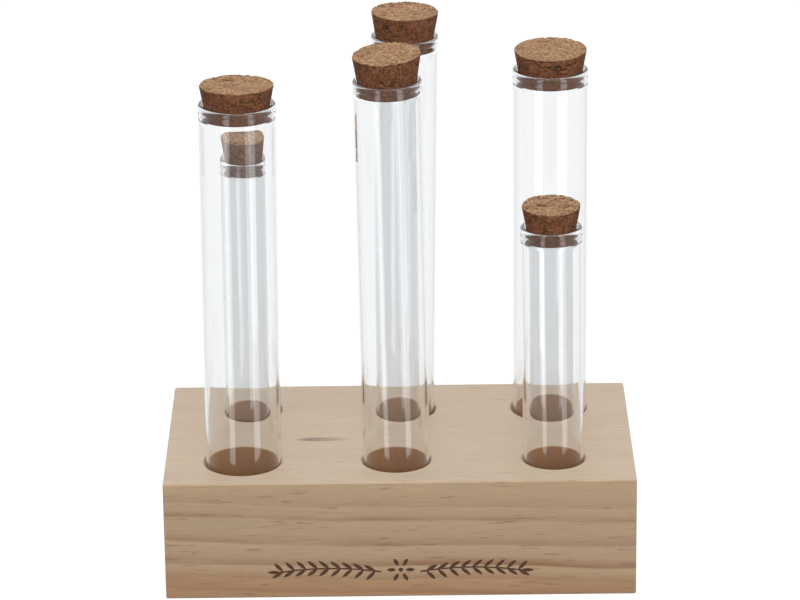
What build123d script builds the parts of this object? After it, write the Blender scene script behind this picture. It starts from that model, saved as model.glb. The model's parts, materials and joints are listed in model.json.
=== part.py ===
from build123d import *
import os

# Test tube vase: six corked glass tubes that stand in a block of pine.
# Lengths are millimetres and +Z is up. The origin is the centre of the block's underside.
# The front of the block faces -Y, and left and right are as seen from the front.

# Block of planed pine
block_width = 180.0
block_depth = 100.0
block_height = 47.5
block_edge_radius = 0.7

# Blind bores, in three columns and two rows, the outer ones set in from the block's sides
column_inset = 30.0
front_row_inset = 23.0
rear_row_inset = 25.0
bore_depth = 30.0
bore_clearance = 0.6
bore_edge_chamfer = 0.3

# The bores were drilled by hand: the most that one is off its mark, and how far each lies to the right
# of its mark, as a share of that
drilling_error = 1.5
drilling_shares = {
    "front_left": -0.15,
    "front_middle": -0.85,
    "front_right": -0.55,
    "rear_left": 1.0,
    "rear_middle": 0.75,
    "rear_right": -0.65,
}

# Three sizes of tube: the diameter outside, the thickness of the glass at the mouth, and the size of the
# cork that stops it, across its wide end
wide_tube_diameter = 29.0
wide_mouth_wall = 1.75
wide_cork_diameter = 28.3
wide_cork_length = 13.0
medium_tube_diameter = 25.7
medium_mouth_wall = 1.4
medium_cork_diameter = 26.1
medium_cork_length = 14.85
slim_tube_diameter = 23.3
slim_mouth_wall = 1.9
slim_cork_diameter = 22.6
slim_cork_length = 13.9

# Tube lengths, from the round end to the rim
front_left_length = 174.0
front_middle_length = 182.5
front_right_length = 124.1
rear_left_length = 135.6
rear_middle_length = 184.0
rear_right_length = 169.9

# Glass: the thin wall, the round end and the lip, which is thicker inside and has two beads outside
glass_wall = 1.05
glass_floor = 1.5
mouth_slope_height = 2.0
lip_overhang = 0.1
lip_waist_depth = 0.25
lip_bead_height = 2.2
lip_rim_height = 2.3

# The tubes stand loose in their bores: how far each leans to the right, in degrees, and how far it stands
# to the right of its bore's middle, as a share of the clearance
leans = {
    "front_left": 0.32,
    "front_middle": -0.7,
    "front_right": -0.65,
    "rear_left": 0.2,
    "rear_middle": 1.0,
    "rear_right": 0.06,
}
stand_shares = {
    "front_left": 0.4,
    "front_middle": 0.5,
    "front_right": 0.3,
    "rear_left": -0.2,
    "rear_middle": -0.65,
    "rear_right": 0.65,
}

# How the pieces sit in each other
tube_seat_gap = 0.1
cork_seat_depth = 5.2
cork_clearance = 0.1
cork_edge_radius = 0.35

# Burnt ornament on the front: a flower between two leafy sprigs
engraving_depth = 0.5
engraving_height = 11.2
sprig_reach = 47.0
sprig_start = 7.5
sprig_rise = 1.6
stem_width = 0.7
leaf_length = 5.2
leaf_width = 1.5
leaf_angle = 38.0
leaf_pairs = 9
end_leaf_share = 0.97
petal_length = 3.6
petal_width = 1.6
petal_count = 6
flower_eye_radius = 0.9

# Each tube's place, length and size
right = block_width / 2 - column_inset
left, middle = -right, 0
front, rear = front_row_inset - block_depth / 2, block_depth / 2 - rear_row_inset
wide = (wide_tube_diameter, wide_mouth_wall, wide_cork_diameter, wide_cork_length)
medium = (medium_tube_diameter, medium_mouth_wall, medium_cork_diameter, medium_cork_length)
slim = (slim_tube_diameter, slim_mouth_wall, slim_cork_diameter, slim_cork_length)
places = {
    "front_left": (left, front, front_left_length, *wide),
    "front_middle": (middle, front, front_middle_length, *medium),
    "front_right": (right, front, front_right_length, *slim),
    "rear_left": (left, rear, rear_left_length, *slim),
    "rear_middle": (middle, rear, rear_middle_length, *medium),
    "rear_right": (right, rear, rear_right_length, *wide),
}
tube_foot = block_height - bore_depth + tube_seat_gap


def bore_column(place, column):
    """How far to the right the middle of a bore really lies."""
    return column + drilling_shares[place] * drilling_error


def tube_plane(place, column, row, diameter):
    """A plane through a tube's axis that faces the front, its Y along the tube and its origin at the foot.

    The tube leans about the middle of its round end, so its foot stays as high over the bore's floor.
    """
    stand = bore_column(place, column) + stand_shares[place] * bore_clearance
    round_middle = (stand, row, tube_foot + diameter / 2)
    leaning = Plane(round_middle, x_dir=(1, 0, 0), z_dir=(0, -1, 0)).rotated((0, leans[place], 0))
    return Plane(leaning.location * Location((0, -diameter / 2)))


def lens(length, width):
    """The outline of a leaf or petal: two arcs that meet in a point at each end."""
    with BuildSketch() as outline:
        with BuildLine():
            ThreePointArc((0, 0), (length / 2, width / 2), (length, 0))
            ThreePointArc((length, 0), (length / 2, -width / 2), (0, 0))
        make_face()
    return outline.sketch


def ornament():
    """The burnt ornament, drawn flat about its own centre."""
    leaf = lens(leaf_length, leaf_width)
    petal = lens(petal_length, petal_width)
    with BuildSketch() as drawing:
        with BuildLine() as stem:
            ThreePointArc(
                (sprig_start, -sprig_rise / 2),
                ((sprig_start + sprig_reach) / 2, sprig_rise / 2),
                (sprig_reach, -sprig_rise / 2),
            )
        trace(line_width=stem_width)
        for pair in range(leaf_pairs):
            share = (pair + 1 / 2) / leaf_pairs
            place = stem.line @ share
            direction = Vector(1, 0).get_signed_angle(stem.line % share)
            with Locations(
                Location(place, (0, 0, direction + leaf_angle)),
                Location(place, (0, 0, direction - leaf_angle)),
            ):
                add(leaf)
        with Locations(stem.line @ end_leaf_share):
            add(leaf)
        mirror(about=Plane.YZ)
        with PolarLocations(flower_eye_radius * 2, petal_count):
            add(petal)
        Circle(flower_eye_radius)
    return drawing.sketch


def build_tube(plane, diameter, mouth, length):
    """A glass tube with a round end and a thick lip: a rim over a lower bead, with a waist between."""
    outer = diameter / 2
    inner = outer - glass_wall
    lip_outer = outer + lip_overhang
    waist = (lip_outer - lip_waist_depth, length - lip_rim_height)
    lip_base = length - lip_rim_height - lip_bead_height
    rim_radius = (lip_outer - mouth) / 2
    rim_edge = length - rim_radius
    slope_base = (inner, lip_base - mouth_slope_height)
    round_end = (inner, glass_floor + inner)
    with BuildPart() as tube:
        with BuildSketch(plane):
            with BuildLine():
                CenterArc((0, outer), outer, -90, 90)
                Line((outer, outer), (outer, lip_base))
                ThreePointArc((outer, lip_base), (lip_outer, lip_base + lip_bead_height / 2), waist)
                TangentArc((lip_outer, rim_edge), waist, tangent=(0, -1))
                CenterArc((mouth + rim_radius, rim_edge), rim_radius, 0, 180)
                Polyline((mouth, rim_edge), (mouth, lip_base), slope_base, round_end)
                CenterArc((0, glass_floor + inner), inner, -90, 90)
                Line((0, glass_floor), (0, 0))
            make_face()
        revolve(axis=Axis(plane.origin, plane.y_dir))
    return tube


def build_cork(plane, mouth, rim, diameter, length):
    """A cork that is tapered over the tube's rim and pressed straight inside its mouth."""
    pressed = mouth - cork_clearance
    foot = rim - cork_seat_depth
    top = foot + length
    with BuildPart() as cork:
        with BuildSketch(plane):
            with BuildLine():
                Line((0, top), (0, foot))
                Polyline((0, foot), (pressed, foot), (pressed, rim), (diameter / 2, top), (0, top))
            make_face()
        axis = Axis(plane.origin, plane.y_dir)
        revolve(axis=axis)
        rings = cork.edges().filter_by(GeomType.CIRCLE).sort_by(axis)
        fillet([rings[0], rings[-1]], radius=cork_edge_radius)
    return cork


os.makedirs("parts", exist_ok=True)

# Block: one piece of pine, its edges eased, bored from above and engraved in front
with BuildPart() as block:
    Box(block_width, block_depth, block_height, align=(Align.CENTER, Align.CENTER, Align.MIN))
    fillet(block.edges(), radius=block_edge_radius)
    for place, (column, row, length, diameter, *others) in places.items():
        with Locations((bore_column(place, column), row, block_height)):
            Hole(radius=diameter / 2 + bore_clearance, depth=bore_depth)
    top_edges = block.faces().sort_by(Axis.Z)[-1].edges()
    chamfer(top_edges.filter_by(GeomType.CIRCLE), length=bore_edge_chamfer)
    with BuildSketch(Plane((0, -block_depth / 2, engraving_height), x_dir=(1, 0, 0), z_dir=(0, -1, 0))):
        add(ornament())
    extrude(amount=-engraving_depth, mode=Mode.SUBTRACT)
block.part.label = "block"
export_step(block.part, "parts/block.step")

# Tubes and corks, one of each at every bore
for place, (column, row, length, diameter, mouth_wall, *cork_size) in places.items():
    plane = tube_plane(place, column, row, diameter)
    mouth = diameter / 2 - mouth_wall
    tube = build_tube(plane, diameter, mouth, length)
    tube.part.label = f"tube_{place}"
    export_step(tube.part, f"parts/tube_{place}.step")

    cork = build_cork(plane, mouth, length, *cork_size)
    cork.part.label = f"cork_{place}"
    export_step(cork.part, f"parts/cork_{place}.step")
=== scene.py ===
# %% [markdown]
# # Test tube vase
#
# The real piece stands on a shelf or a table and holds dried flowers and herbs. It is a block of
# planed pine with six blind bores, a glass test tube in each bore, and a tapered cork in the mouth
# of each tube.
#
# This lesson builds it in three parts: the pine, the glass and the cork. Glass has no colour of its
# own and shows only what it bends and mirrors, so the studio around the object matters as much as
# the glass does, and it comes last.
#
# The sizes aren't chosen here. They come from a CAD model of the same object, which is loaded first
# as a frame that stays where it is. New pieces take their places from it, and each rides on the
# body that it belongs to.

# %% Load the frame
import json
import math

import bpy
from mathutils import Matrix, Vector, noise


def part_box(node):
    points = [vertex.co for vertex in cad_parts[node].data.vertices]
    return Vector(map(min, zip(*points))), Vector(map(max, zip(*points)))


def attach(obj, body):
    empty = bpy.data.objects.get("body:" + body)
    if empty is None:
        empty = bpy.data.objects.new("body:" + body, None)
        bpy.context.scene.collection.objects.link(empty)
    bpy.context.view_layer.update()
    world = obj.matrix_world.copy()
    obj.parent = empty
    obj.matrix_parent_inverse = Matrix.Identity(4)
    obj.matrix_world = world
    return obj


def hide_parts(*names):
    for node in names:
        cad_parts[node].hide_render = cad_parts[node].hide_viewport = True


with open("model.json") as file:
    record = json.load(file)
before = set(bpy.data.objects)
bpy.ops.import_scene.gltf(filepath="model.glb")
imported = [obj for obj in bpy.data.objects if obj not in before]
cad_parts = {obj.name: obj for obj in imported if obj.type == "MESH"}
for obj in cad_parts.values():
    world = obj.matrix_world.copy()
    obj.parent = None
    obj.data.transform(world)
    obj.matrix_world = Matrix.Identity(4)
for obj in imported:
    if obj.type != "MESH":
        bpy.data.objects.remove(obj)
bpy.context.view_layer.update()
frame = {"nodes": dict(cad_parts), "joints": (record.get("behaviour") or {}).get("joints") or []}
mm = 0.001

# %% [markdown]
# Six tubes and six corks stand in three columns and two rows. The frame names its nodes by these
# places, so the names are read from it once and every later loop goes over them.

# %% The six places
places = [name.removeprefix("tube_") for name in frame["nodes"] if name.startswith("tube_")]
print(len(places), "tubes with corks:", ", ".join(places))

# %% [markdown]
# The tubes stand loose in their bores, and each leans a little to one side. The joint that lifts a
# tube out runs along the tube, so its direction gives the lean. A turn by that lean about the
# origin carries an upright tube to its place.

# %% How each tube leans
upright = {}
for place in places:
    joint = next(j for j in frame["joints"] if j["name"] == f"tube_{place}_lift")
    lean = math.atan2(joint["axis"][0], joint["axis"][2])
    upright[place] = Matrix.Rotation(-lean, 4, "Y")
    print(f"{place} leans {math.degrees(lean):+.2f} degrees to the right")


def upright_box(name, place):
    """The lowest and highest corners of a CAD node after its place's lean is taken out."""
    points = [upright[place] @ vertex.co for vertex in frame["nodes"][name].data.vertices]
    corners = ([pick(point[i] for point in points) for i in range(3)] for pick in (min, max))
    return tuple(Vector(corner) for corner in corners)


def lean_over(piece, place):
    """Turns a piece that was made upright to its place's lean, and keeps that in its mesh."""
    clear_selection()
    piece.matrix_world = upright[place].inverted()
    piece.select_set(True)
    bpy.context.view_layer.objects.active = piece
    bpy.ops.object.transform_apply(location=True, rotation=True, scale=True)


# %% [markdown]
# ## Helpers
#
# Colours are written as hex codes, as a paint program shows them. Blender mixes light in linear
# values, so one function turns the codes into those. A second one adds a node to a material: it
# sets the node's options, fills its inputs with values or with the outputs of other nodes, and
# gives back the output that the next node needs.
#
# Inputs go by name, or by number where several share one. A Mix node's share is its input 0. It
# mixes the numbers in its inputs 2 and 3, or the colours in its inputs 6 and 7, and the mixed
# colour is its output 2.

# %% Colour and node helpers
def linear(code, alpha=1.0):
    """The linear colour of a hex code such as "c8a27c"."""
    channels = [int(code[i : i + 2], 16) / 255 for i in (0, 2, 4)]
    return (*[c / 12.92 if c <= 0.04045 else ((c + 0.055) / 1.055) ** 2.4 for c in channels], alpha)


def add_node(tree, kind, inputs=(), output=0, **options):
    """Adds a node, sets its options, fills its inputs with values or links, and gives an output."""
    node = tree.nodes.new(kind)
    for name, value in options.items():
        setattr(node, name, value)
    for name, value in dict(inputs).items():
        if isinstance(value, bpy.types.NodeSocket):
            tree.links.new(value, node.inputs[name])
        else:
            node.inputs[name].default_value = value
    return node.outputs[output] if node.outputs else None


def set_ramp(ramp, stops):
    """Gives a colour ramp its stops: pairs of a place from 0 to 1 and a colour."""
    elements = ramp.node.color_ramp.elements
    while len(elements) < len(stops):
        elements.new(1.0)
    for element, (place, colour) in zip(elements, stops):
        element.position = place
        element.color = colour


def clear_selection():
    """Leaves nothing selected and no piece active in edit mode."""
    if bpy.context.object and bpy.context.object.mode != "OBJECT":
        bpy.ops.object.mode_set(mode="OBJECT")
    bpy.ops.object.select_all(action="DESELECT")


def new_material(name):
    """An empty material and its node tree."""
    material = bpy.data.materials.new(name)
    material.use_nodes = True
    material.node_tree.nodes.clear()
    return material, material.node_tree


print("Cork brown in linear values:", [round(c, 3) for c in linear("b08c6c")])

# %% [markdown]
# ## The pine block
#
# The block is one length of planed softwood with eased edges. Its shape is already right in the CAD
# model, so it stays and only gets its material. Pine could be an image, but an image has to be
# wrapped round the block and its lines then stop at the edges. A solid pattern does what a tree
# does: the growth rings are shells round a pith that lies above the block, every face cuts through
# the same shells, and the lines run on from face to face.
#
# Each ring starts pale, darkens slowly through the summer and ends at a sharp brown line. The front
# of the block cuts the rings square on, so it shows their lines. The top lies inside one ring and
# is nearly plain.

# %% Pine: the distance from the pith
pine, tree = new_material("planed_pine")
object_place = add_node(tree, "ShaderNodeTexCoord", output="Object")
place_mm = add_node(
    tree, "ShaderNodeVectorMath", {0: object_place, 1: (1 / mm,) * 3}, operation="MULTIPLY"
)

block_low, block_high = (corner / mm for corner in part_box("block"))

# Where the pith lies, in millimetres, and how much it falls per millimetre to the right
pith_above_top = 380
pith_behind_middle = -10
pith_fall = 0.025

# Slow and quick waves of the grain along X, in millimetres to and fro
wave_sizes = (((1 / 95, 1 / 34, 1 / 34), 5.0), ((1 / 30, 1 / 9, 1 / 9), 1.3))
along_grain = add_node(tree, "ShaderNodeSeparateXYZ", {0: place_mm}, output="X")
fallen = add_node(
    tree,
    "ShaderNodeVectorMath",
    {0: along_grain, 1: (0, 0, pith_fall), 2: place_mm},
    operation="MULTIPLY_ADD",
)
pith_centred = add_node(
    tree,
    "ShaderNodeVectorMath",
    {0: fallen, 1: (0, pith_behind_middle, block_high.z + pith_above_top)},
    operation="SUBTRACT",
)
across_grain = add_node(
    tree, "ShaderNodeVectorMath", {0: pith_centred, 1: (0, 1, 1)}, operation="MULTIPLY"
)
radius = add_node(
    tree, "ShaderNodeVectorMath", {0: across_grain}, output="Value", operation="LENGTH"
)
for stretch, travel in wave_sizes:
    stretched = add_node(
        tree, "ShaderNodeVectorMath", {0: place_mm, 1: stretch}, operation="MULTIPLY"
    )
    wave = add_node(tree, "ShaderNodeTexNoise", {"Vector": stretched, "Scale": 1.0, "Detail": 1.5})
    centred = add_node(tree, "ShaderNodeMath", {0: wave, 1: 0.5}, operation="SUBTRACT")
    radius = add_node(
        tree, "ShaderNodeMath", {0: centred, 1: travel, 2: radius}, operation="MULTIPLY_ADD"
    )
print("The pith lies", pith_above_top, "mm above the top of the block")

# %% [markdown]
# The rings are a ramp over the depth under the top face. The list gives, for each ring, how deep
# its summer line lies in millimetres and how strong the line is. Real rings differ, because some
# years are dry, so the numbers aren't regular. A ring is pale for six tenths of its way, then
# darkens a little up to its line.

# %% Pine: the growth rings
ring_lines = (
    (11.8, 0.30),
    (17.5, 0.90),
    (27.5, 0.70),
    (36.0, 0.85),
    (41.5, 0.40),
    (47.0, 0.60),
    (54.0, 0.60),
)
ring_span = 56.0
line_edge = 0.9
summer_start = 0.6
summer_darkness = 0.22

depth = add_node(tree, "ShaderNodeMath", {0: radius, 1: pith_above_top}, operation="SUBTRACT")
depth_share = add_node(tree, "ShaderNodeMath", {0: depth, 1: ring_span}, operation="DIVIDE")
ring_ramp = add_node(tree, "ShaderNodeValToRGB", {"Fac": depth_share})
stops = []
ring_start = 0.0
for line, strength in ring_lines:
    summer = ring_start * (1 - summer_start) + line * summer_start
    ring = ((ring_start, 0.0), (summer, summer_darkness * strength), (line, strength))
    for place, darkness in ring:
        stops.append((place / ring_span, (darkness,) * 3 + (1.0,)))
    ring_start = line + line_edge
set_ramp(ring_ramp, stops)
print(len(ring_lines), "rings with", len(stops), "stops")

# %% [markdown]
# Wood is a bundle of fibres, so everything else in it is long along the grain: fine pale and dark
# streaks, broader cloudy bands, and the thin brown dashes of resin canals. A noise gives all of
# them once its coordinates are squeezed along X. On the end faces the same noise shows its
# cross-section, which is how end grain looks.

# %% Pine: fibres, clouds and resin canals
# How often each pattern repeats in a millimetre, along the grain and across it
fine_stretch = (1 / 16, 1 / 0.42, 1 / 0.42)
cloud_stretch = (1 / 70, 1 / 13, 1 / 13)
canal_stretch = (1 / 9, 1 / 0.9, 1 / 0.9)

fine_place = add_node(
    tree, "ShaderNodeVectorMath", {0: place_mm, 1: fine_stretch}, operation="MULTIPLY"
)
fibres = add_node(tree, "ShaderNodeTexNoise", {"Vector": fine_place, "Scale": 1.0, "Detail": 3.0})
cloud_place = add_node(
    tree, "ShaderNodeVectorMath", {0: place_mm, 1: cloud_stretch}, operation="MULTIPLY"
)
clouds = add_node(tree, "ShaderNodeTexNoise", {"Vector": cloud_place, "Scale": 1.0, "Detail": 2.0})
canal_place = add_node(
    tree, "ShaderNodeVectorMath", {0: place_mm, 1: canal_stretch}, operation="MULTIPLY"
)
canal_noise = add_node(
    tree, "ShaderNodeTexNoise", {"Vector": canal_place, "Scale": 1.0, "Detail": 1.0}
)
canals = add_node(
    tree,
    "ShaderNodeMapRange",
    {"Value": canal_noise, "From Min": 0.66, "From Max": 0.74, "To Max": 0.55},
)

# The lowest few millimetres of the block, near the floor, are painted darker and warmer: painted
# shade
early_wood, low_shade_wood, late_wood = linear("bda281"), linear("b48d69"), linear("966c4a")
canal_brown = linear("8a6240")
low_shade_from, low_shade_to = 37.0, 43.0
# The share of painted shade grows from these depths under the top face down to the bottom
low_shade_share = add_node(
    tree, "ShaderNodeMapRange", {"Value": depth, "From Min": low_shade_from, "From Max": low_shade_to}
)
plain_wood = add_node(
    tree, "ShaderNodeMix", {0: low_shade_share, 6: early_wood, 7: low_shade_wood}, output=2, data_type="RGBA"
)
ring_strength = add_node(
    tree,
    "ShaderNodeMapRange",
    {"Value": clouds, "From Min": 0.35, "From Max": 0.65, "To Min": 0.35, "To Max": 1.3},
)
ring_share = add_node(
    tree, "ShaderNodeMath", {0: ring_ramp, 1: ring_strength}, operation="MULTIPLY"
)
ringed = add_node(
    tree, "ShaderNodeMix", {0: ring_share, 6: plain_wood, 7: late_wood}, output=2, data_type="RGBA"
)
canalled = add_node(
    tree, "ShaderNodeMix", {0: canals, 6: ringed, 7: canal_brown}, output=2, data_type="RGBA"
)
fibre_light = add_node(
    tree,
    "ShaderNodeMapRange",
    {"Value": fibres, "From Min": 0.3, "From Max": 0.7, "To Min": 0.89, "To Max": 1.08},
)
cloud_light = add_node(
    tree,
    "ShaderNodeMapRange",
    {"Value": clouds, "From Min": 0.3, "From Max": 0.7, "To Min": 0.94, "To Max": 1.05},
)
wood_light = add_node(
    tree, "ShaderNodeMath", {0: fibre_light, 1: cloud_light}, operation="MULTIPLY"
)
clear_pine = add_node(
    tree, "ShaderNodeVectorMath", {0: canalled, "Scale": wood_light}, operation="SCALE"
)
print("Fibres are about", round(1 / fine_stretch[1], 1), "mm apart")

# %% [markdown]
# One place on the top face stands out: a thin brown streak, where a resin canal lies just under the
# surface. It is darkest at one end and fades to the other.

# %% Pine: the streak on the top face
streak_middle = (-29.5, -6.6, block_high.z)
streak_half_size = (12.0, 2.4, 3.0)
resin_brown = linear("7a3e02")
streak_offset = add_node(
    tree, "ShaderNodeVectorMath", {0: place_mm, 1: streak_middle}, operation="SUBTRACT"
)
streak_place = add_node(
    tree, "ShaderNodeVectorMath", {0: streak_offset, 1: streak_half_size}, operation="DIVIDE"
)
streak_distance = add_node(
    tree, "ShaderNodeVectorMath", {0: streak_place}, output="Value", operation="LENGTH"
)
streak_body = add_node(
    tree, "ShaderNodeMapRange", {"Value": streak_distance, "From Min": 1.0, "From Max": 0.65}
)
streak_x = add_node(tree, "ShaderNodeSeparateXYZ", {0: streak_place}, output="X")
streak_fade = add_node(
    tree,
    "ShaderNodeMapRange",
    {"Value": streak_x, "From Min": -0.4, "From Max": 0.9, "To Min": 1.0, "To Max": 0.25},
)
streak = add_node(tree, "ShaderNodeMath", {0: streak_body, 1: streak_fade}, operation="MULTIPLY")
streaked_pine = add_node(
    tree, "ShaderNodeMix", {0: streak, 6: clear_pine, 7: resin_brown}, output=2, data_type="RGBA"
)
print("The streak is", 2 * streak_half_size[0], "mm long")

# %% [markdown]
# The walls of the bores are painted a darker, redder brown, as painted shade inside the bores, and
# the ornament on the front is burnt in. Both are told from clean wood by where they lie: a bore is
# well inside the block, and the ornament is just behind the front face.

# %% Pine: painted shade in the bores and burnt ornament
x, y, z = (add_node(tree, "ShaderNodeSeparateXYZ", {0: place_mm}, output=axis) for axis in "XYZ")
depth_of_wall = 1.2
depth_of_burn = 0.9
clean_rim = 0.35
clean_skin = 0.04
ornament_half_width = 60
ornament_low, ornament_high = 3, 18
# The bore brown is painted shade for the walls inside the bores, and the burnt brown is the
# ornament's own colour
bore_shade_brown, burnt_brown = linear("a16c3a"), linear("5c3413")


def between(value, low, high):
    """1 where a value lies between two limits, and 0 elsewhere."""
    middle, reach = (low + high) / 2, (high - low) / 2
    return add_node(tree, "ShaderNodeMath", {0: value, 1: middle, 2: reach}, operation="COMPARE")


def all_of(*masks):
    """The places that all the masks share."""
    shared = masks[0]
    for mask in masks[1:]:
        shared = add_node(tree, "ShaderNodeMath", {0: shared, 1: mask}, operation="MULTIPLY")
    return shared


in_bore = all_of(
    between(x, block_low.x + depth_of_wall, block_high.x - depth_of_wall),
    between(y, block_low.y + depth_of_wall, block_high.y - depth_of_wall),
    between(z, depth_of_wall, block_high.z - clean_rim),
)
in_burn = all_of(
    between(x, -ornament_half_width, ornament_half_width),
    between(y, block_low.y + clean_skin, block_low.y + depth_of_burn),
    between(z, ornament_low, ornament_high),
)
# Inside the bores the wood is painted darker and redder, as painted shade
bore_shaded_pine = add_node(
    tree,
    "ShaderNodeMix",
    {0: in_bore, 6: streaked_pine, 7: bore_shade_brown},
    output=2,
    data_type="RGBA",
)
burnt_pine = add_node(
    tree, "ShaderNodeMix", {0: in_burn, 6: bore_shaded_pine, 7: burnt_brown}, output=2, data_type="RGBA"
)

# %% [markdown]
# Planed wood is matt, with a faint sheen of cut fibres at a flat view, and a relief that a finger
# just feels.

# %% Pine: the planed surface
pine_relief = add_node(
    tree, "ShaderNodeBump", {"Strength": 0.25, "Distance": 0.15 * mm, "Height": fibres}
)
pine_surface = add_node(
    tree,
    "ShaderNodeBsdfPrincipled",
    {
        "Base Color": burnt_pine,
        "Roughness": 0.5,
        "IOR": 1.5,
        "Sheen Weight": 0.6,
        "Sheen Roughness": 0.5,
        "Normal": pine_relief,
    },
)
add_node(tree, "ShaderNodeOutputMaterial", {"Surface": pine_surface})

block = frame["nodes"]["block"]
for slot in block.material_slots:
    slot.material = pine
print("The block wears", block.material_slots[0].material.name)

# %% [markdown]
# ## The glass tubes
#
# A test tube is drawn glass tubing with one end melted round and the other flared in a flame to a
# lip: a lower bead, a waist and a rolled rim. Everything is round, so the whole tube is one outline
# turned about the axis. It is modelled as a glass blower would draw it: a single point starts at
# the foot, is extruded along the outside, over the lip, down the inside and back to the axis, and
# the line is then spun. The outline makes a wall with two faces, because light bends where it goes
# into the glass and again where it comes out.
#
# The long straight walls get an extra ring close to each end, so that the smooth shading of the
# round foot and the lip doesn't reach up the wall.

# %% The tube's outline
glass_wall = 1.05 * mm
glass_floor = 1.5 * mm
mouth_slope = 2.0 * mm
lip_overhang = 0.1 * mm
waist_depth = 0.25 * mm
cork_clearance = 0.1 * mm
bead_height = 2.2 * mm
rim_height = 2.3 * mm
guard_ring = 0.4 * mm
rim_bulge = 0.05 * mm

# How many steps the round foot, the lower bead, the waist, the rim and the slope under it have
foot_steps, bead_steps, waist_steps, rim_steps, slope_steps = 20, 12, 6, 16, 8


def arc(centre, radius, start, end, steps):
    """Points on an arc, from one angle to another in degrees. Angle 0 points outwards, 90 up."""
    angles = [math.radians(start + (end - start) * i / steps) for i in range(steps + 1)]
    return [(centre[0] + radius * math.cos(a), centre[1] + radius * math.sin(a)) for a in angles]


def bow(start, end, bulge, steps):
    """Points on the arc that joins two points and stands out by the bulge at its middle."""
    start, end = Vector(start), Vector(end)
    chord = end - start
    radius = (chord.length_squared / 4 + bulge**2) / (2 * bulge)
    outward = Vector((chord.y, -chord.x)).normalized()
    centre = (start + end) / 2 + outward * (bulge - radius)
    first, last = (math.degrees(math.atan2(p.y - centre.y, p.x - centre.x)) for p in (start, end))
    return arc(centre, radius, first, last, steps)


def tube_outline(outer, mouth, length):
    """A tube's half section, from the axis at its foot to the axis inside, as radius and height."""
    inner = outer - glass_wall
    lip = outer + lip_overhang
    lip_base = length - rim_height - bead_height
    waist = (lip - waist_depth, length - rim_height)
    rim_radius = (lip - mouth) / 2
    rim_edge = length - rim_radius
    outline = arc((0, outer), outer, -90, 0, foot_steps)
    outline += [(outer, outer + guard_ring), (outer, lip_base - guard_ring)]
    outline += bow((outer, lip_base), waist, (lip_overhang + waist_depth) / 2, bead_steps)
    outline += bow(waist, (lip, rim_edge), rim_bulge, waist_steps)[1:]
    outline += arc((mouth + rim_radius, rim_edge), rim_radius, 0, 180, rim_steps)[1:]
    for step in range(slope_steps + 1):
        share = step / slope_steps
        ease = (1 - math.cos(math.pi * share)) / 2
        outline.append((mouth + (inner - mouth) * ease, lip_base - mouth_slope * share))
    outline.append((inner, lip_base - mouth_slope - guard_ring))
    outline.append((inner, glass_floor + inner + guard_ring))
    outline += arc((0, glass_floor + inner), inner, 0, -90, foot_steps)
    return outline


print(len(tube_outline(14 * mm, 13 * mm, 170 * mm)), "points in the outline of a tube")

# %% [markdown]
# The modelling tools work on whatever is selected, and the CAD nodes are selected after loading, so
# each piece starts by clearing the selection.

# %% Spin the tubes
spin_steps = 160
merge_distance = 0.002 * mm
level_slack = 0.01 * mm


def pressed_radius(place):
    """The radius of a place's cork inside the tube, where the mouth presses it straight."""
    low, high = upright_box(f"cork_{place}", place)
    axis = (low + high) / 2
    rim = upright_box(f"tube_{place}", place)[1].z
    vertices = frame["nodes"][f"cork_{place}"].data.vertices
    points = [upright[place] @ vertex.co for vertex in vertices]
    pressed = [p for p in points if p.z < rim + level_slack]
    return max(math.hypot(p.x - axis.x, p.y - axis.y) for p in pressed)


def spin_tube(name, centre, foot, outer, mouth, length):
    """A tube turned from its outline, standing on its foot at a centre."""
    clear_selection()
    outline = tube_outline(outer, mouth, length)
    bpy.ops.mesh.primitive_plane_add(size=mm)
    tube = bpy.context.object
    tube.name = name
    bpy.ops.object.mode_set(mode="EDIT")
    bpy.ops.mesh.merge(type="CENTER")
    bpy.ops.transform.translate(value=(centre.x, centre.y, foot))
    for (r, z), (next_r, next_z) in zip(outline, outline[1:]):
        step = (next_r - r, 0, next_z - z)
        bpy.ops.mesh.extrude_region_move(TRANSFORM_OT_translate={"value": step})
    bpy.ops.mesh.select_all(action="SELECT")
    bpy.ops.mesh.spin(
        steps=spin_steps, angle=2 * math.pi, center=(centre.x, centre.y, foot), axis=(0, 0, 1)
    )
    bpy.ops.mesh.select_all(action="SELECT")
    bpy.ops.mesh.remove_doubles(threshold=merge_distance)
    bpy.ops.mesh.normals_make_consistent(inside=False)
    bpy.ops.object.mode_set(mode="OBJECT")
    bpy.ops.object.shade_smooth()
    return tube


tubes = {}
for place in places:
    low, high = upright_box(f"tube_{place}", place)
    centre = (low + high) / 2
    outer = (high.x - low.x) / 2 - lip_overhang
    mouth = pressed_radius(place) + cork_clearance
    tubes[place] = spin_tube(f"glass_{place}", centre, low.z, outer, mouth, high.z - low.z)
    lean_over(tubes[place], place)
    print(f"{place}: {2 * outer / mm:.1f} mm across, {(high.z - low.z) / mm:.1f} mm long")

# %% [markdown]
# Laboratory glass is clear and fire polished, so its surface has no roughness at all, and its index
# of refraction is about 1.5. It still looks a little grey and cool, and more so at the edges, where
# the line of sight runs a long way inside the wall. A thin absorption in the glass gives that.
#
# Lamps shine through real glass. In a path tracer a light ray can't find its way through two bent
# surfaces, and the wood under the tubes would go dark, so for the rays that carry light to other
# surfaces the glass is left out.

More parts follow.
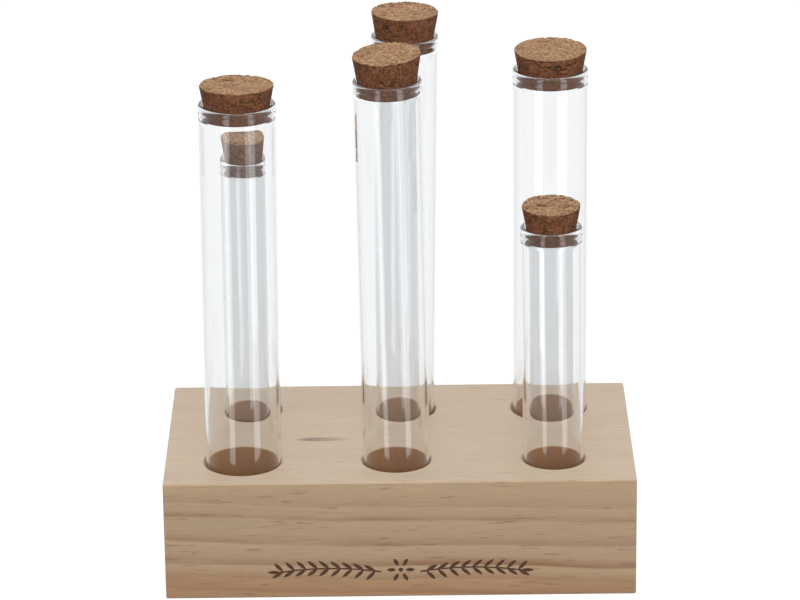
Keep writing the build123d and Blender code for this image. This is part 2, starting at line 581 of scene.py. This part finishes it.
# %% Clear glass
glass, tree = new_material("clear_test_tube_glass")
ray = add_node(tree, "ShaderNodeLightPath", output="Is Shadow Ray")
lighting_ray = add_node(
    tree, "ShaderNodeMath", {0: ray, 1: ray.node.outputs["Is Diffuse Ray"]}, operation="MAXIMUM"
)
clear = add_node(
    tree,
    "ShaderNodeBsdfPrincipled",
    {"Base Color": (0.99, 0.996, 1.0, 1), "Roughness": 0.0, "IOR": 1.5, "Transmission Weight": 1.0},
)
nothing = add_node(tree, "ShaderNodeBsdfTransparent")
glass_surface = add_node(tree, "ShaderNodeMixShader", {0: lighting_ray, 1: clear, 2: nothing})
glass_depth = add_node(
    tree, "ShaderNodeVolumeAbsorption", {"Color": linear("b4bac0"), "Density": 25.0}
)
add_node(tree, "ShaderNodeOutputMaterial", {"Surface": glass_surface, "Volume": glass_depth})

for place, tube in tubes.items():
    tube.data.materials.append(glass)
    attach(tube, f"tube_{place}")
    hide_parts(f"tube_{place}")
print("Glass on", len(tubes), "tubes of", len(tubes[places[0]].data.polygons), "faces each")

# %% [markdown]
# ## The corks
#
# These stoppers are natural cork, cut from bark and turned to a taper. Cork bark is full of small
# pores and a few long cracks, the knife tears some of them open, and crumbs break out of the top
# edge. That is what makes a cork look like cork, so it is modelled, not only painted.
#
# A cone with eased edges is remeshed to an even skin of small faces. Then every point of the skin
# asks a noise pattern how deep the cork is there, and a Displace modifier pushes the point in by
# that much. How much dust lies at each point, and how much painted shade the foot in the mouth
# gets, is kept as an attribute, so that the material can darken the pores and the foot.
#
# The mouth presses a cork straight, so the cone starts at the tube's rim and a straight plug hangs
# below it. The tops were cut by hand, and some lie aslant.

# %% Turn a cork
cork_edge = 0.35 * mm
skin_size = 0.32 * mm
cork_sides = 96

# How much higher each top lies, in millimetres, and its slope to the right and the back
cork_slants = {
    "front_left": (-0.4, 0.0, -0.033),
    "front_middle": (0.5, 0.05, 0.045),
    "front_right": (-0.2, 0.0, 0.045),
    "rear_left": (0.0, 0.0, -0.01),
    "rear_middle": (0.0, 0.0, 0.0),
    "rear_right": (0.1, 0.01, 0.045),
}


def top_rise(place, rightwards, backwards):
    """How much higher than level a place's cork top is, at an offset from its middle."""
    rise, to_right, to_back = cork_slants[place]
    return rise * mm + to_right * rightwards + to_back * backwards


def turn_cork(place, low, high, rim, foot_radius):
    """A place's cork with an even skin: a cone over the tube's rim and a straight plug below it."""
    clear_selection()
    middle = (low + high) / 2
    bpy.ops.mesh.primitive_cone_add(
        vertices=cork_sides,
        radius1=foot_radius,
        radius2=(high.x - low.x) / 2,
        depth=high.z - rim,
        location=(middle.x, middle.y, (rim + high.z) / 2),
    )
    cork = bpy.context.object
    cork.name = f"stopper_{place}"
    bpy.ops.object.transform_apply(location=True, rotation=True, scale=True)
    bpy.ops.object.mode_set(mode="EDIT")
    bpy.ops.mesh.select_mode(type="FACE")
    bpy.ops.mesh.select_all(action="DESELECT")
    bpy.ops.object.mode_set(mode="OBJECT")
    foot_face = min(cork.data.polygons, key=lambda face: face.center.z)
    foot_face.select = True
    bpy.ops.object.mode_set(mode="EDIT")
    bpy.ops.mesh.extrude_region_move(TRANSFORM_OT_translate={"value": (0, 0, low.z - rim)})
    bpy.ops.object.mode_set(mode="OBJECT")
    # The cone has points at the foot, at the rim and round the top, and only the last lie so high
    for vertex in cork.data.vertices:
        if vertex.co.z > rim + mm:
            vertex.co.z += top_rise(place, vertex.co.x - middle.x, vertex.co.y - middle.y)
    ease = cork.modifiers.new("ease", "BEVEL")
    ease.width = cork_edge
    ease.segments = 3
    ease.limit_method = "ANGLE"
    ease.angle_limit = math.radians(40)
    bpy.ops.object.modifier_apply(modifier=ease.name)
    skin = cork.modifiers.new("skin", "REMESH")
    skin.mode = "VOXEL"
    skin.voxel_size = skin_size
    bpy.ops.object.modifier_apply(modifier=skin.name)
    return cork


# %% [markdown]
# Four kinds of damage are mixed. Pores are small round holes: the cells of a Voronoi pattern, of
# which only some are open. Cracks are long and thin: the places where a stretched noise crosses
# zero. Crumbs are missing only at the top edge, and the knife has torn flakes out of the top face.
# The foot, which sits in the glass, keeps its outline, because cork is pressed there, and it is
# painted darker, as painted shade inside the mouth. A vector that is added to a place only takes
# another part of the noise, so that no two patterns are alike.

# %% How deep is the cork?
# How torn the tops are, from smooth (0) to ragged (1)
cork_tears = {
    "front_left": 0.5,
    "front_middle": 0.6,
    "front_right": 1.0,
    "rear_left": 0.9,
    "rear_middle": 0.4,
    "rear_right": 0.4,
}

# Large and small pores: how far apart they are in millimetres, and the share of them that is open
pore_spacing, open_pores = 2.3, 0.22
small_spacing, open_small_pores = 1.15, 0.42
small_offset = Vector((9, 4, 2))

# As shares of that distance: a pore's floor, its rim, and how much its rim varies
pore_floor, pore_rim, pore_variety = 0.05, 0.12, 0.3

# Sizes in millimetres
crack_size = 5.0
crumb_size = 2.6
flake_size = 1.9


def smooth_step(value, low, high):
    """0 below one limit, 1 above the other, and a smooth slope between. Either may be larger."""
    share = min(max((value - low) / (high - low), 0.0), 1.0)
    return share * share * (3 - 2 * share)


def pore_depth(place, spacing, open_share):
    """1 in the middle of an open pore and 0 outside."""
    distances, points = noise.voronoi(place / spacing)
    chance = abs(noise.cell(points[0] * 7.3 + Vector((0.5, 0.5, 0.5))))
    if chance > open_share:
        return 0.0
    return smooth_step(distances[0], pore_rim + pore_variety * chance / open_share, pore_floor)


def crack_depth(place):
    """1 in the middle of a crack and 0 outside."""
    stretched = Vector((place.x * 0.45, place.y * 1.5, place.z * 1.3)) / crack_size
    valley = abs(noise.noise(stretched + Vector((31, 7, 3))) + 0.25 * noise.noise(stretched * 3.1))
    region = noise.noise(place / 7.0 + Vector((5, 17, 11)))
    return smooth_step(valley, 0.085, 0.01) * smooth_step(region, 0.0, 0.2)


def crumb_depth(place, to_edge):
    """1 where a crumb has broken out of the top edge."""
    missing = noise.noise(place / crumb_size + Vector((3, 3, 41))) + 0.5 * noise.noise(place / 1.1)
    return smooth_step(missing, 0.22, 0.5) * smooth_step(to_edge, 1.3, 0.2)


def tear_depth(place, below_top):
    """1 where a flake is torn out of the top face and 0 a little below it."""
    rough = noise.noise(place / flake_size + Vector((13, 5, 2))) + 0.5 * noise.noise(place / 0.8)
    return smooth_step(rough, 0.1, 0.45) * smooth_step(below_top, 1.2, 0.3)


line = [Vector((i * 0.37, 2.0, 5.0)) for i in range(400)]
in_pores = sum(pore_depth(point, small_spacing, open_small_pores) > 0.5 for point in line)
print(f"{in_pores / len(line):.1%} of a line through cork lies in small pores")

# %% [markdown]
# Each point of a cork's skin now gets its damage. Where two kinds meet, the deeper one counts, so a
# pore in a crack doesn't dig a hole below both. A fine grain comes on top. In the mouth most of
# this fades out, because the glass presses the cork smooth.

# %% Weather the corks
pore_push = 0.6 * mm
grain_push = 0.16 * mm
grain_size = 0.75

# The relief fades out from a little over the rim to a little under it
fade_over_rim, fade_under_rim = 0.8 * mm, 0.3 * mm

# How deep lesser damage is, next to a pore, and how much relief the pressed foot keeps
small_pore_share = 0.7
crumb_share = 0.6
pressed_share = 0.25

# How dark torn flakes are, and how dark the foot in the mouth is painted as shade, next to a pore
torn_dust = 0.5
foot_shade_darkness = 0.45

corks = {}
for place in places:
    low, high = upright_box(f"cork_{place}", place)
    middle = (low + high) / 2
    tube_top = upright_box(f"tube_{place}", place)[1].z
    foot_radius = pressed_radius(place)
    slope = ((high.x - low.x) / 2 - foot_radius) / (high.z - tube_top)
    cork = turn_cork(place, low, high, tube_top, foot_radius)
    corks[place] = cork

    depths, grains, dust_and_foot_shades = [], [], []
    for vertex in cork.data.vertices:
        spot = vertex.co / mm
        offset = (vertex.co.x - middle.x, vertex.co.y - middle.y)
        below_top = high.z + top_rise(place, *offset) - vertex.co.z
        wall_radius = foot_radius + slope * max(vertex.co.z - tube_top, 0)
        to_edge = math.hypot(wall_radius - math.hypot(*offset), below_top) / mm
        small = pore_depth(spot + small_offset, small_spacing, open_small_pores)
        pores = max(pore_depth(spot, pore_spacing, open_pores), small_pore_share * small)
        hollow = max(pores, crack_depth(spot), crumb_share * crumb_depth(spot, to_edge))
        torn = cork_tears[place] * tear_depth(spot, below_top / mm)
        above_mouth = smooth_step(vertex.co.z, tube_top - fade_under_rim, tube_top + fade_over_rim)
        depths.append(max(hollow, torn) * (pressed_share + (1 - pressed_share) * above_mouth))
        # The foot in the mouth gets painted shade through the same values as the dust in pores,
        # cracks and tears
        dust_and_foot_shades.append(max(hollow, torn_dust * torn, foot_shade_darkness * (1 - above_mouth)))
        grains.append(0.5 + 0.5 * noise.noise(spot / grain_size) * above_mouth)
    for name, values, push in (("damage", depths, pore_push), ("grain", grains, grain_push)):
        group = cork.vertex_groups.new(name=name)
        for index, value in enumerate(values):
            group.add([index], value, "REPLACE")
        press = cork.modifiers.new(name, "DISPLACE")
        press.vertex_group = name
        press.strength = -push
        press.mid_level = 0
        bpy.ops.object.modifier_apply(modifier=press.name)
    bpy.ops.object.vertex_group_remove(all=True)
    cork.data.attributes.new("dust_and_foot_shade", "FLOAT", "POINT").data.foreach_set("value", dust_and_foot_shades)
    bpy.ops.object.shade_smooth()
    lean_over(cork, place)
    deep = sum(depth > 0.5 for depth in depths)
    print(f"{place}: {len(depths)} points, {deep} of them in pores or cracks")

# %% [markdown]
# Cork is a light brown with warmer and redder grains, and dark brown in the pores, where bark dust
# has collected. It breaks in flakes, each a little lighter or darker than the next. The side is
# painted darker than the top, by the way each surface faces: painted shade. Cork has no shine to
# speak of.

# %% Natural cork
cork_material, tree = new_material("natural_cork")
object_place = add_node(tree, "ShaderNodeTexCoord", output="Object")
object_normal = object_place.node.outputs["Normal"]
grain_scale, flake_scale, patch_scale = (1 / (size * mm) for size in (0.9, 1.7, 5.0))
light_top, dark_top = linear("bf9b74"), linear("7e5b3e")
# The side colours are painted shade: darker copies of the top's grain colours
shaded_side_pale, shaded_side_dark = linear("8b5936"), linear("522c18")
red_cork, bark_dust = linear("9a6148"), linear("4a2c1b")

grain_noise = add_node(
    tree, "ShaderNodeTexNoise", {"Vector": object_place, "Scale": grain_scale, "Detail": 4.0}
)
patch_noise = add_node(
    tree, "ShaderNodeTexNoise", {"Vector": object_place, "Scale": patch_scale, "Detail": 2.0}
)
top_facing = add_node(tree, "ShaderNodeSeparateXYZ", {0: object_normal}, output="Z")
# Facing up picks the top colours, and facing sideways picks the darker side colours of painted
# shade
top_share = add_node(
    tree, "ShaderNodeMapRange", {"Value": top_facing, "From Min": 0.25, "From Max": 0.8}
)

grain_share = add_node(
    tree, "ShaderNodeMapRange", {"Value": grain_noise, "From Min": 0.35, "From Max": 0.65}
)
top_colour = add_node(
    tree, "ShaderNodeMix", {0: grain_share, 6: dark_top, 7: light_top}, output=2, data_type="RGBA"
)
shaded_side_colour = add_node(
    tree, "ShaderNodeMix", {0: grain_share, 6: shaded_side_dark, 7: shaded_side_pale}, output=2, data_type="RGBA"
)
grain_and_side_shade = add_node(
    tree, "ShaderNodeMix", {0: top_share, 6: shaded_side_colour, 7: top_colour}, output=2, data_type="RGBA"
)
flakes = add_node(
    tree, "ShaderNodeTexVoronoi", {"Vector": object_place, "Scale": flake_scale}, output="Color"
)
flake_light = add_node(tree, "ShaderNodeMapRange", {"Value": flakes, "To Min": 0.78, "To Max": 1.2})
cork_colour = add_node(
    tree, "ShaderNodeVectorMath", {0: grain_and_side_shade, "Scale": flake_light}, operation="SCALE"
)
patch_share = add_node(
    tree,
    "ShaderNodeMapRange",
    {"Value": patch_noise, "From Min": 0.5, "From Max": 0.7, "To Max": 0.5},
)
reddened = add_node(
    tree, "ShaderNodeMix", {0: patch_share, 6: cork_colour, 7: red_cork}, output=2, data_type="RGBA"
)
# The attribute darkens the dust in pores, cracks and tears, and paints shade on the foot in the
# mouth
dust_and_foot_shade = add_node(tree, "ShaderNodeAttribute", output="Fac", attribute_name="dust_and_foot_shade")
dusty_and_foot_shaded = add_node(
    tree, "ShaderNodeMix", {0: dust_and_foot_shade, 6: reddened, 7: bark_dust}, output=2, data_type="RGBA"
)
cork_relief = add_node(
    tree, "ShaderNodeBump", {"Strength": 0.4, "Distance": 0.2 * mm, "Height": grain_noise}
)
cork_surface = add_node(
    tree, "ShaderNodeBsdfPrincipled", {"Base Color": dusty_and_foot_shaded, "Roughness": 0.9, "Normal": cork_relief}
)
add_node(tree, "ShaderNodeOutputMaterial", {"Surface": cork_surface})

for place, cork in corks.items():
    cork.data.materials.append(cork_material)
    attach(cork, f"cork_{place}")
    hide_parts(f"cork_{place}")
print("Cork on", len(corks), "stoppers")

# %% [markdown]
# ## The studio
#
# The object is shown on white, from a little above and from far away, so that upright lines stay
# upright. A long lens does that. The camera's place and its turn were worked out from the corners
# of the block.

# %% Camera
camera_lens = 187.548
camera_place = Vector((2.9, -1505.0, 666.3)) * mm
camera_yaw, camera_pitch, camera_roll = (math.radians(a) for a in (-0.079, 20.536, 0.669))

clear_selection()
bpy.ops.object.camera_add()
camera = bpy.context.object
camera.name = "camera"
camera.data.lens = camera_lens
camera.matrix_world = (
    Matrix.Translation(camera_place)
    @ Matrix.Rotation(-camera_yaw, 4, "Z")
    @ Matrix.Rotation(math.radians(90) - camera_pitch, 4, "X")
    @ Matrix.Rotation(-camera_roll, 4, "Z")
)
bpy.context.scene.camera = camera
print(f"A {camera_lens:.0f} mm lens looks down {math.degrees(camera_pitch):.0f} degrees")

# %% [markdown]
# Two tall soft boxes stand in front, one on each side. They light the front of the block, and every
# tube mirrors them as two upright streaks. They reach below the level of the floor, as they do
# beside a table, so the streaks run down the whole tube. A wide lamp overhead lights the top, and a
# fill lamp near the camera, which no mirror shows, lifts the shadows.

# %% Lamps
studio_target = Vector((0, 0, 80 * mm))


def soft_box(name, azimuth, distance, middle_height, width, height, radiance):
    """A rectangular lamp that faces the object. Azimuth 0 is in front, and 90 to the right."""
    clear_selection()
    turn = math.radians(azimuth)
    place = Vector((distance * math.sin(turn), -distance * math.cos(turn), middle_height))
    bpy.ops.object.light_add(type="AREA", location=place)
    lamp = bpy.context.object
    lamp.name = name
    lamp.data.shape = "RECTANGLE"
    lamp.data.size, lamp.data.size_y = width, height
    lamp.data.energy = radiance * math.pi * width * height
    lamp.rotation_euler = (studio_target - place).to_track_quat("-Z", "Y").to_euler()
    return lamp


# Azimuth in degrees, then in metres the distance, the middle's height, the width and the height,
# and at last how bright the lamp's face is
soft_box("soft_box_left", -33, 1.2, 0.3, 0.38, 2.0, 2.0)
soft_box("soft_box_right", 44, 1.2, 0.3, 0.46, 2.0, 2.0)
soft_box("top_lamp", 10, 0.35, 1.5, 1.3, 1.3, 2.15)
fill = soft_box("fill", 5, 1.5, 0.5, 1.0, 1.0, 1.2)
fill.visible_glossy = False
fill.visible_transmission = False

# %% [markdown]
# The background is white because it is painted white, not because it is lit more. What the camera
# sees directly or through glass is white. What a mirror sees is a room that is dim in front and
# bright behind, so the tubes keep their grey edges, and what lights the wood is a dim room too, so
# the lamps decide the shading.
#
# A ray can also be mirrored inside the glass and come out again. It then counts as seen through
# glass, but it must not find the white, or every tube would glow. Light Path counts the mirrorings,
# and one is enough to leave the white out. It also counts the surfaces that a ray has gone through:
# more than four mean a second tube, which dims the white.

# %% World
# How bright the table is in mirrors, from in front (0) over the sides (0.5) to straight behind (1)
table_levels = ((0.0, 0.42), (0.25, 0.42), (0.5, 0.55), (0.85, 0.75), (0.96, 0.92), (1.0, 1.0))

# How bright the white is through one tube, and through one that stands behind another
white_through_one = 1.045
white_through_two = 0.805
surfaces_of_one_tube = 4

# How bright the room is for what it lights
room_light = 0.40

world = bpy.data.worlds.new("studio")
bpy.context.scene.world = world
world.use_nodes = True
tree = world.node_tree
tree.nodes.clear()
ray = add_node(tree, "ShaderNodeLightPath", output="Is Camera Ray").node.outputs
unmirrored = add_node(
    tree, "ShaderNodeMath", {0: ray["Glossy Depth"], 1: 0.5}, operation="LESS_THAN"
)
through_glass = add_node(
    tree, "ShaderNodeMath", {0: ray["Is Transmission Ray"], 1: unmirrored}, operation="MULTIPLY"
)
seen_ray = add_node(
    tree, "ShaderNodeMath", {0: ray["Is Camera Ray"], 1: through_glass}, operation="MAXIMUM"
)
direction = add_node(tree, "ShaderNodeTexCoord", output="Generated")
level_direction = add_node(
    tree, "ShaderNodeVectorMath", {0: direction, 1: (1, 1, 0)}, operation="MULTIPLY"
)
compass = add_node(tree, "ShaderNodeVectorMath", {0: level_direction}, operation="NORMALIZE")
behind = add_node(tree, "ShaderNodeSeparateXYZ", {0: compass}, output="Y")
above = add_node(tree, "ShaderNodeSeparateXYZ", {0: direction}, output="Z")
table_ramp = add_node(
    tree, "ShaderNodeMapRange", {"Value": behind, "From Min": -1.0, "From Max": 1.0}
)
table_level = add_node(tree, "ShaderNodeValToRGB", {"Fac": table_ramp})
set_ramp(table_level, [(place, (level,) * 3 + (1.0,)) for place, level in table_levels])
wall_level = add_node(
    tree,
    "ShaderNodeMapRange",
    {"Value": behind, "From Min": -0.6, "From Max": 0.7, "To Min": 0.2, "To Max": 1.3},
)
over_table = add_node(
    tree, "ShaderNodeMapRange", {"Value": above, "From Min": -0.05, "From Max": 0.05}
)
mirror_level = add_node(
    tree, "ShaderNodeMix", {0: over_table, 2: table_level, 3: wall_level}, data_type="FLOAT"
)
room_level = add_node(
    tree,
    "ShaderNodeMix",
    {0: ray["Is Diffuse Ray"], 2: mirror_level, 3: room_light},
    data_type="FLOAT",
)
second_tube = add_node(
    tree,
    "ShaderNodeMath",
    {0: ray["Transmission Depth"], 1: surfaces_of_one_tube + 0.5},
    operation="GREATER_THAN",
)
glass_level = add_node(
    tree,
    "ShaderNodeMix",
    {0: second_tube, 2: white_through_one, 3: white_through_two},
    data_type="FLOAT",
)
white_level = add_node(
    tree, "ShaderNodeMix", {0: through_glass, 2: 1.0, 3: glass_level}, data_type="FLOAT"
)
level = add_node(
    tree, "ShaderNodeMix", {0: seen_ray, 2: room_level, 3: white_level}, data_type="FLOAT"
)
background = add_node(tree, "ShaderNodeBackground", {"Color": (1, 1, 1, 1), "Strength": level})
add_node(tree, "ShaderNodeOutputWorld", {"Surface": background})
print("World nodes:", len(tree.nodes))

# %% [markdown]
# The floor is matt paper. Towards the camera it glows a little, which makes it white with the
# lamps' light on it, and its shadow under the block stays. Mirrors and rays through glass miss it
# and find the table of the world instead.

# %% Floor
floor_width = 12
paper_glow_level = 0.88
paper_grey = (0.25, 0.25, 0.25, 1)

clear_selection()
bpy.ops.mesh.primitive_plane_add(size=floor_width)
floor = bpy.context.object
floor.name = "floor"
paper, tree = new_material("white_paper")
camera_ray = add_node(tree, "ShaderNodeLightPath", output="Is Camera Ray")
paper_glow = add_node(
    tree, "ShaderNodeMath", {0: camera_ray, 1: paper_glow_level}, operation="MULTIPLY"
)
paper_surface = add_node(
    tree,
    "ShaderNodeBsdfPrincipled",
    {
        "Base Color": paper_grey,
        "Roughness": 1.0,
        "Specular IOR Level": 0.0,
        "Emission Color": (1, 1, 1, 1),
        "Emission Strength": paper_glow,
    },
)
add_node(tree, "ShaderNodeOutputMaterial", {"Surface": paper_surface})
floor.data.materials.append(paper)
floor.visible_glossy = False
floor.visible_transmission = False
print("The floor is", floor_width, "m wide")

# %% [markdown]
# A ray may have to cross two tubes, which is eight surfaces, and be mirrored on the way, so it gets
# many bounces. The Standard view shows a colour as it is written. Light that glass would focus is
# left out, because it only adds noise.

# %% Render settings
scene = bpy.context.scene
scene.view_settings.view_transform = "Standard"
scene.cycles.max_bounces = 24
scene.cycles.transmission_bounces = 24
scene.cycles.transparent_max_bounces = 24
scene.cycles.glossy_bounces = 8
scene.cycles.caustics_reflective = False
scene.cycles.caustics_refractive = False
scene.cycles.use_denoising = True
